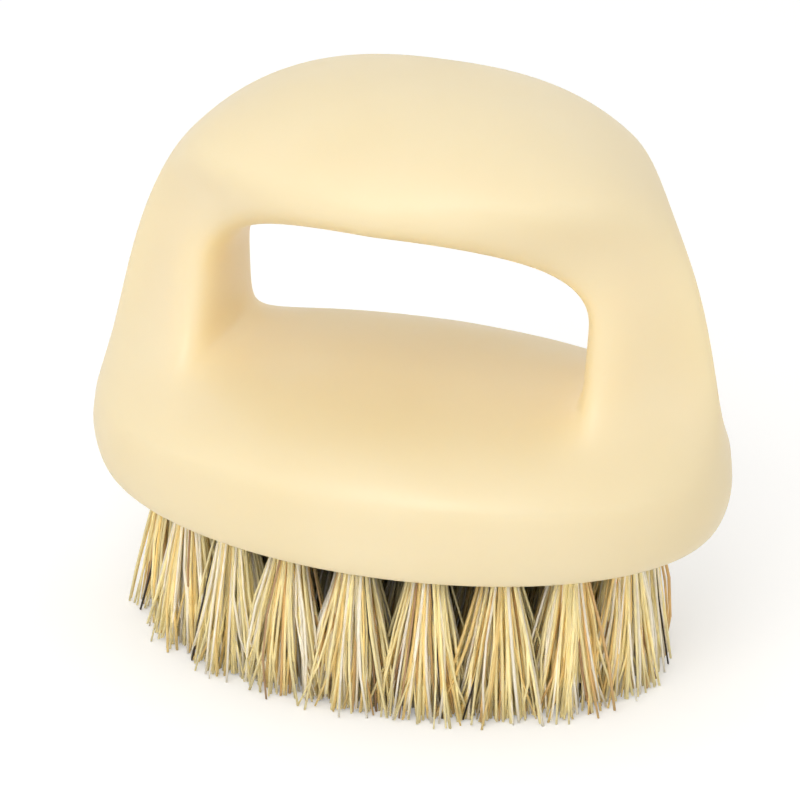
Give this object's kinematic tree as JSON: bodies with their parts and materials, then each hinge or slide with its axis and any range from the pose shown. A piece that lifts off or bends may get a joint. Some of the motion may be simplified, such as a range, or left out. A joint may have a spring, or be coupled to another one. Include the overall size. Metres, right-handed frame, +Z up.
{
  "type": "detailing brush",
  "caption": "Palm-sized detailing brush: a moulded cream ring handle with a finger hole over an oval head of natural bristle tufts.",
  "frame": {"origin": "middle of the plane that the trimmed bristle tips stand on", "axes": "+X along the width of the finger hole, +Y through the finger hole from front to back, +Z up from the bristle tips to the crown of the handle"},
  "size_m": [0.0746, 0.0494, 0.0682],
  "materials": {
    "handle_plastic": "satin injection-moulded ABS, cream",
    "plate_plastic": "as-moulded plastic, cream, drilled for the tufts",
    "natural_bristle": "natural bristle, straw mixed with brown and black hairs",
    "anchor_wire": "flat drawn wire, cut to length"
  },
  "bodies": {
    "root": {"anchor_inner_01": "anchor_wire", "anchor_inner_02": "anchor_wire", "anchor_inner_03": "anchor_wire", "anchor_inner_04": "anchor_wire", "anchor_inner_05": "anchor_wire", "anchor_inner_06": "anchor_wire", "anchor_middle_01": "anchor_wire", "anchor_middle_02": "anchor_wire", "anchor_middle_03": "anchor_wire", "anchor_middle_04": "anchor_wire", "anchor_middle_05": "anchor_wire", "anchor_middle_06": "anchor_wire", "anchor_middle_07": "anchor_wire", "anchor_middle_08": "anchor_wire", "anchor_middle_09": "anchor_wire", "anchor_middle_10": "anchor_wire", "anchor_middle_11": "anchor_wire", "anchor_middle_12": "anchor_wire", "anchor_outer_01": "anchor_wire", "anchor_outer_02": "anchor_wire", "anchor_outer_03": "anchor_wire", "anchor_outer_04": "anchor_wire", "anchor_outer_05": "anchor_wire", "anchor_outer_06": "anchor_wire", "anchor_outer_07": "anchor_wire", "anchor_outer_08": "anchor_wire", "anchor_outer_09": "anchor_wire", "anchor_outer_10": "anchor_wire", "anchor_outer_11": "anchor_wire", "anchor_outer_12": "anchor_wire", "anchor_outer_13": "anchor_wire", "anchor_outer_14": "anchor_wire", "anchor_outer_15": "anchor_wire", "anchor_outer_16": "anchor_wire", "anchor_outer_17": "anchor_wire", "anchor_outer_18": "anchor_wire", "bristles_inner_row": "natural_bristle", "bristles_middle_row": "natural_bristle", "bristles_outer_row": "natural_bristle", "handle": "handle_plastic", "insert_plate": "plate_plastic"}
  },
  "joints": []
}
